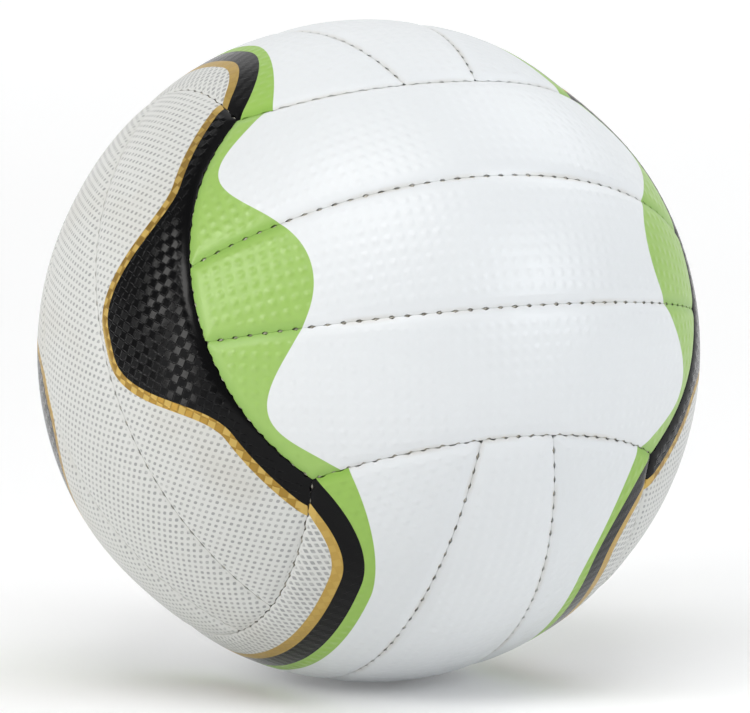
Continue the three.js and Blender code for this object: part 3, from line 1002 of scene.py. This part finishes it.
# A closing thread runs along three edges: left to right, front to back and up or down
edge_end = CORNER_ALONG - THREAD_END_INSET / (RADIUS * math.cos(CORNER_ACROSS))
for side, side_name in ((-1, "left"), (1, "right")):
    for level, level_name in ((-1, "lower"), (1, "upper")):
        turn_over = side * level
        edges = (
            ((0, -turn_over, 0), (1, 0, 0), (0, 0, level)),
            ((0, 0, level), (0, 1, 0), (side, 0, 0)),
            ((side, 0, 0), (0, 0, 1), (0, turn_over, 0)),
        )
        paths = []
        for edge in edges:
            axes = [np.array(part, float) for part in edge]
            paths.append(thread_path(axes, side_seam, side_seam_run, edge_end))
        stitches = thread(f"closing_stitches_{level_name}_{side_name}", paths)
        finish_piece(stitches, thread_material, "thread", f"closing_thread_{level_name}_{side_name}")


# Bladder and valve
BLADDER_RADIUS = RADIUS - FLANGE_DEPTH - BLADDER_CLEARANCE


# Half a sphere's outline, from its mouth round to the far pole
def arc_profile(radius, first, rings):
    start = math.asin(first / radius)
    polar = np.linspace(start, math.pi, rings)
    points = [(radius * math.sin(turn), radius * math.cos(turn)) for turn in polar[:-1]]
    return points + [(0, -radius)]


bladder_outside = arc_profile(BLADDER_RADIUS, VALVE_HOLE_RADIUS, BLADDER_RINGS)
bladder_inside = arc_profile(BLADDER_RADIUS - BLADDER_WALL, VALVE_HOLE_RADIUS, BLADDER_RINGS)
bladder = lathe("bladder_shell", bladder_outside[::-1] + bladder_inside, BLADDER_SEGMENTS, False)
finish_piece(bladder, rubber_material, "bladder", "bladder")

STEM = VALVE_STEM_DIAMETER / 2
FLANGE = VALVE_FLANGE_DIAMETER / 2
GUIDE = NEEDLE_GUIDE_DIAMETER / 2
NEEDLE = NEEDLE_HOLE_DIAMETER / 2
CAVITY = CORE_DIAMETER / 2 + FIT_CLEARANCE
MOUTH = RADIUS - VALVE_MOUTH_DEPTH
SEAT = BLADDER_RADIUS - BLADDER_WALL - FIT_CLEARANCE
FLANGE_ROOT = math.sqrt(SEAT ** 2 - STEM ** 2)
FLANGE_RIM = math.sqrt(SEAT ** 2 - FLANGE ** 2)
BOSS_FOOT = FLANGE_ROOT - VALVE_FLANGE_THICKNESS - VALVE_BOSS_LENGTH
CORE_ROOF = MOUTH - NEEDLE_GUIDE_DEPTH - CORE_ROOF_THICKNESS


# A rounded rim of the valve's mouth, from its side up to its top
def rounded_corner(radius, height, inward):
    points = []
    for turn in np.linspace(0, math.pi / 2, ROUNDING_POINTS):
        sideways = inward * RIM_ROUNDING * (1 - math.cos(turn))
        points.append((radius + sideways, height - RIM_ROUNDING * (1 - math.sin(turn))))
    return points


body_profile = [
    (CAVITY, BOSS_FOOT),
    (STEM, BOSS_FOOT),
    (STEM, FLANGE_ROOT - VALVE_FLANGE_THICKNESS),
    (FLANGE, FLANGE_RIM - VALVE_FLANGE_THICKNESS),
    (FLANGE, FLANGE_RIM),
    (STEM, FLANGE_ROOT),
]
body_profile = body_profile + rounded_corner(STEM, MOUTH, -1) + rounded_corner(GUIDE, MOUTH, 1)[::-1]
body_profile = body_profile + [
    (NEEDLE, MOUTH - NEEDLE_GUIDE_DEPTH),
    (NEEDLE, CORE_ROOF),
    (CAVITY, CORE_ROOF),
]
body = lathe("valve_stem_and_flange", body_profile, VALVE_SEGMENTS, True)
finish_piece(body, valve_material, "valve", "valve_body")

CORE_TOP = CORE_ROOF - FIT_CLEARANCE
core_profile = [
    (0, BOSS_FOOT),
    (CORE_DIAMETER / 2, BOSS_FOOT),
    (CORE_DIAMETER / 2, CORE_TOP),
    (NEEDLE, CORE_TOP),
    (0, CORE_TOP - CORE_DIMPLE_DEPTH),
]
core = lathe("valve_plug", core_profile, CORE_SEGMENTS, False)
finish_piece(core, valve_material, "valve", "valve_core")


# Floor, light and camera
def add_floor():
    level = (CONTACT_DROP - RADIUS) * MM
    bpy.ops.mesh.primitive_plane_add(size=FLOOR_SIZE, location=(0, 0, level))
    floor = bpy.context.object
    floor.name = "floor"
    bpy.ops.mesh.primitive_cone_add(
        vertices=RIM_SEGMENTS, radius1=RIM_FOOT, radius2=RIM_TOP, depth=RIM_HEIGHT, end_fill_type="NOTHING",
        location=(0, 0, level + RIM_HEIGHT / 2 - RIM_SUNK))
    rim = bpy.context.object
    rim.name = "floor_rim"
    surface = Surface("pale_floor")
    shade = surface.blend(surface.noise(FLOOR_PATCH / MM), FLOOR_SHADE, FLOOR_LIGHT)
    surface.put(surface.shader.inputs["Base Color"], shade)
    surface.shader.inputs["Roughness"].default_value = FLOOR_ROUGHNESS
    place = surface.tree.nodes.new("ShaderNodeTexCoord")
    reach = surface.tree.nodes.new("ShaderNodeVectorMath")
    reach.operation = "LENGTH"
    surface.put(reach.inputs[0], place.outputs["Object"])
    glow = surface.ramp(reach.outputs["Value"], 0.0, GLOW_REACH, GLOW_NEAR, GLOW_FAR)
    surface.shader.inputs["Emission Color"].default_value = (1, 1, 1, 1)
    surface.put(surface.shader.inputs["Emission Strength"], glow)
    for stage in (floor, rim):
        stage.data.materials.append(surface.material)


# A soft lamp aimed at the ball, by its turn to the left of the camera and its elevation
def add_light(name, turn, elevation, distance, width, height, power, tint):
    data = bpy.data.lights.new(name, "AREA")
    data.shape = "RECTANGLE"
    data.size = width
    data.size_y = height
    data.energy = power
    data.color = tint
    light = bpy.data.objects.new(name, data)
    turn = math.radians(turn)
    elevation = math.radians(elevation)
    reach = distance * math.cos(elevation)
    light.location = (-reach * math.sin(turn), -reach * math.cos(turn), distance * math.sin(elevation))
    light.rotation_euler = (math.pi / 2 - elevation, 0, -turn)
    bpy.context.scene.collection.objects.link(light)


def add_camera():
    elevation = math.radians(CAMERA_ELEVATION)
    data = bpy.data.cameras.new("camera")
    data.sensor_width = SENSOR_WIDTH
    data.lens = LENS
    data.shift_x = SHIFT_RIGHT
    data.shift_y = SHIFT_UP
    data.clip_end = CLIP_END
    camera = bpy.data.objects.new("camera", data)
    camera.location = (0, -CAMERA_DISTANCE * math.cos(elevation), CAMERA_DISTANCE * math.sin(elevation))
    camera.rotation_euler = (math.pi / 2 - elevation, 0, 0)
    bpy.context.scene.collection.objects.link(camera)
    bpy.context.scene.camera = camera


# A white surround, dim round the camera and bright behind the ball
def add_surround():
    world = bpy.data.worlds.new("studio")
    world.use_nodes = True
    tree = world.node_tree
    place = tree.nodes.new("ShaderNodeTexCoord")
    parts = tree.nodes.new("ShaderNodeSeparateXYZ")
    rise = tree.nodes.new("ShaderNodeMapRange")
    rise.interpolation_type = "SMOOTHSTEP"
    limits = SURROUND_CHANGE + (SURROUND_DIM, SURROUND_BRIGHT)
    for target, value in zip(rise.inputs[1:], limits):
        target.default_value = value
    tree.links.new(place.outputs["Generated"], parts.inputs[0])
    tree.links.new(parts.outputs["Y"], rise.inputs["Value"])
    tree.links.new(rise.outputs[0], tree.nodes["Background"].inputs["Strength"])
    tree.nodes["Background"].inputs["Color"].default_value = (1, 1, 1, 1)
    bpy.context.scene.world = world


# Lamps: turn and elevation in degrees, distance, width and height in metres, power in watts, and tint
NEUTRAL = (1, 1, 1)
WARM = (1, 0.985, 0.96)
COOL = (0.93, 0.965, 1)
SLIGHTLY_COOL = (0.97, 0.985, 1)
LAMPS = (
    ("overhead", 0, 88, 4.0, 3.6, 3.6, 9, NEUTRAL),
    ("front_high", 0, 61, 3.3, 2.0, 2.0, 45, NEUTRAL),
    ("left", 50, 31, 2.4, 0.65, 0.65, 12, WARM),
    ("far_left", 72, 13, 2.4, 0.42, 1.2, 14, WARM),
    ("right", -64, 23, 2.4, 0.9, 0.9, 15, COOL),
    ("back_high", 180, 50, 3.4, 2.4, 2.4, 5, NEUTRAL),
    ("back_right", -125, 46, 3.0, 1.6, 1.6, 15, SLIGHTLY_COOL),
)

add_floor()
for lamp in LAMPS:
    add_light(*lamp)
add_camera()
add_surround()
bpy.context.scene.view_settings.view_transform = "Standard"
